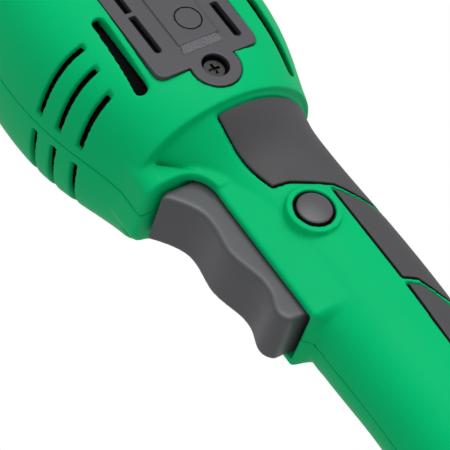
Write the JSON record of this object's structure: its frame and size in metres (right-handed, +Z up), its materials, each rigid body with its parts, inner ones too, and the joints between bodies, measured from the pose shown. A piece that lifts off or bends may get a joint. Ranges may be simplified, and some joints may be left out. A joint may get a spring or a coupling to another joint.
{
  "type": "string trimmer",
  "caption": "Corded string trimmer: motor housing with rear trigger grip, straight shaft with loop handle, bevel gear head, guard and bump-feed line head.",
  "frame": {"origin": "on the rear grip's axis, level with the lock button, where the rear hand holds the tool", "axes": "+X back along the grip and shaft towards the mains inlet, +Y the operator's right, +Z up through the grip's soft pads; in use the whole tool is tipped 45 degrees nose down, which stands the cutting head level"},
  "size_m": [1.3562, 0.3087, 0.3477],
  "materials": {
    "housing_green": "satin moulded, fine grain",
    "grip_rubber": "soft overmoulded grip",
    "dark_plastic": "moulded, fine spark grain",
    "trigger_plastic": "satin moulded",
    "black_plastic": "moulded",
    "steel": "turned or drawn",
    "black_steel": "black oxide",
    "laminations": "stacked laminations",
    "copper": "enamelled winding",
    "brass": "plain",
    "carbon": "pressed carbon",
    "aluminium": "die cast, bead blasted",
    "tube_aluminium": "drawn tube, satin anodised",
    "bush_plastic": "self-lubricating polymer",
    "guard_plastic": "moulded",
    "line_nylon": "extruded nylon line"
  },
  "bodies": {
    "trimmer_frame": {"housing_left": "housing_green", "housing_right": "housing_green", "housing_screws": "black_steel", "brush_cover_left": "dark_plastic", "brush_cover_right": "dark_plastic", "brush_cover_screws": "black_steel", "neck_pad_left": "grip_rubber", "neck_pad_right": "grip_rubber", "palm_pad_left": "grip_rubber", "palm_pad_right": "grip_rubber", "rear_pad_left": "grip_rubber", "rear_pad_right": "grip_rubber", "trigger_pin": "steel", "switch_body": "black_plastic", "power_inlet": "black_plastic", "inlet_pins": "brass", "motor_stator": "laminations", "field_coils": "copper", "motor_bearings": "steel", "brush_holders": "brass", "carbon_brushes": "carbon", "brush_springs": "steel", "shaft_collar": "aluminium", "clamp_screws": "black_steel", "shaft_tube": "tube_aluminium", "shaft_bushes": "bush_plastic", "loop_clamp_lower": "black_plastic", "loop_clamp_upper": "black_plastic", "loop_bolt": "steel", "strap_ring": "steel", "gear_case": "aluminium", "bearing_carrier": "aluminium", "head_bearings": "steel", "guard": "guard_plastic", "guard_screws": "black_steel", "line_cutter": "steel"},
    "rotor": {"armature_core": "laminations", "armature_winding": "copper", "commutator": "copper", "motor_shaft": "steel", "cooling_fan": "black_plastic", "drive_coupling": "steel", "drive_rod": "steel", "pinion": "steel"},
    "cutting_head": {"bevel_gear": "steel", "head_spindle": "steel", "spool_case": "black_plastic", "line_eyelets": "steel", "line_spool": "black_plastic", "cutting_line": "line_nylon", "spool_cover": "black_plastic", "bump_spring": "steel"},
    "bump_button": {"bump_knob": "housing_green"},
    "trigger_lever": {"trigger": "trigger_plastic", "trigger_spring": "steel"},
    "plunger": {"switch_plunger": "black_plastic"},
    "lock": {"lock_button": "trigger_plastic", "lock_spring": "steel"},
    "loop": {"loop_handle": "grip_rubber"},
    "clamp_knob": {"loop_knob": "black_plastic"}
  },
  "joints": [
    {"name": "motor_spin", "type": "hinge", "parent": "trimmer_frame", "child": "rotor", "pos_m": [-0.12, 0, -0.013], "axis": [1, 0, 0], "continuous": true},
    {"name": "head_spin", "type": "hinge", "parent": "trimmer_frame", "child": "cutting_head", "pos_m": [-1.165, 0, -0.013], "axis": [0.7071, 0, 0.7071], "continuous": true},
    {"name": "bump_feed", "type": "slide", "parent": "cutting_head", "child": "bump_button", "axis": [0.7071, 0, 0.7071], "range_m": [0, 0.005], "stiffness_N_per_m": 1500, "springref_m": -0.004, "deforming": ["bump_spring"]},
    {"name": "trigger_pull", "type": "hinge", "parent": "trimmer_frame", "child": "trigger_lever", "pos_m": [-0.0275, 0, -0.0235], "axis": [0, -1, 0], "range_deg": [0, 6], "stiffness_Nm_per_rad": 3, "springref_deg": -2.86, "deforming": ["trigger_spring"]},
    {"name": "plunger_slide", "type": "slide", "parent": "trimmer_frame", "child": "plunger", "axis": [0, 0, 1], "range_m": [0, 0.0056]},
    {"name": "lock_press", "type": "slide", "parent": "trimmer_frame", "child": "lock", "axis": [0, 1, 0], "range_m": [0, 0.003], "stiffness_N_per_m": 800, "springref_m": -0.003, "deforming": ["lock_spring"]},
    {"name": "loop_tilt", "type": "hinge", "parent": "trimmer_frame", "child": "loop", "pos_m": [-0.43, 0, 0.025], "axis": [0, 1, 0], "range_deg": [-30, 30]},
    {"name": "knob_turn", "type": "hinge", "parent": "trimmer_frame", "child": "clamp_knob", "pos_m": [-0.43, 0.021, 0.025], "axis": [0, 1, 0], "continuous": true}
  ],
  "couplings": [
    {"joint": "head_spin", "follows": "motor_spin", "ratio": -0.75},
    {"joint": "plunger_slide", "follows": "trigger_pull", "m_per_rad": 0.0498}
  ]
}
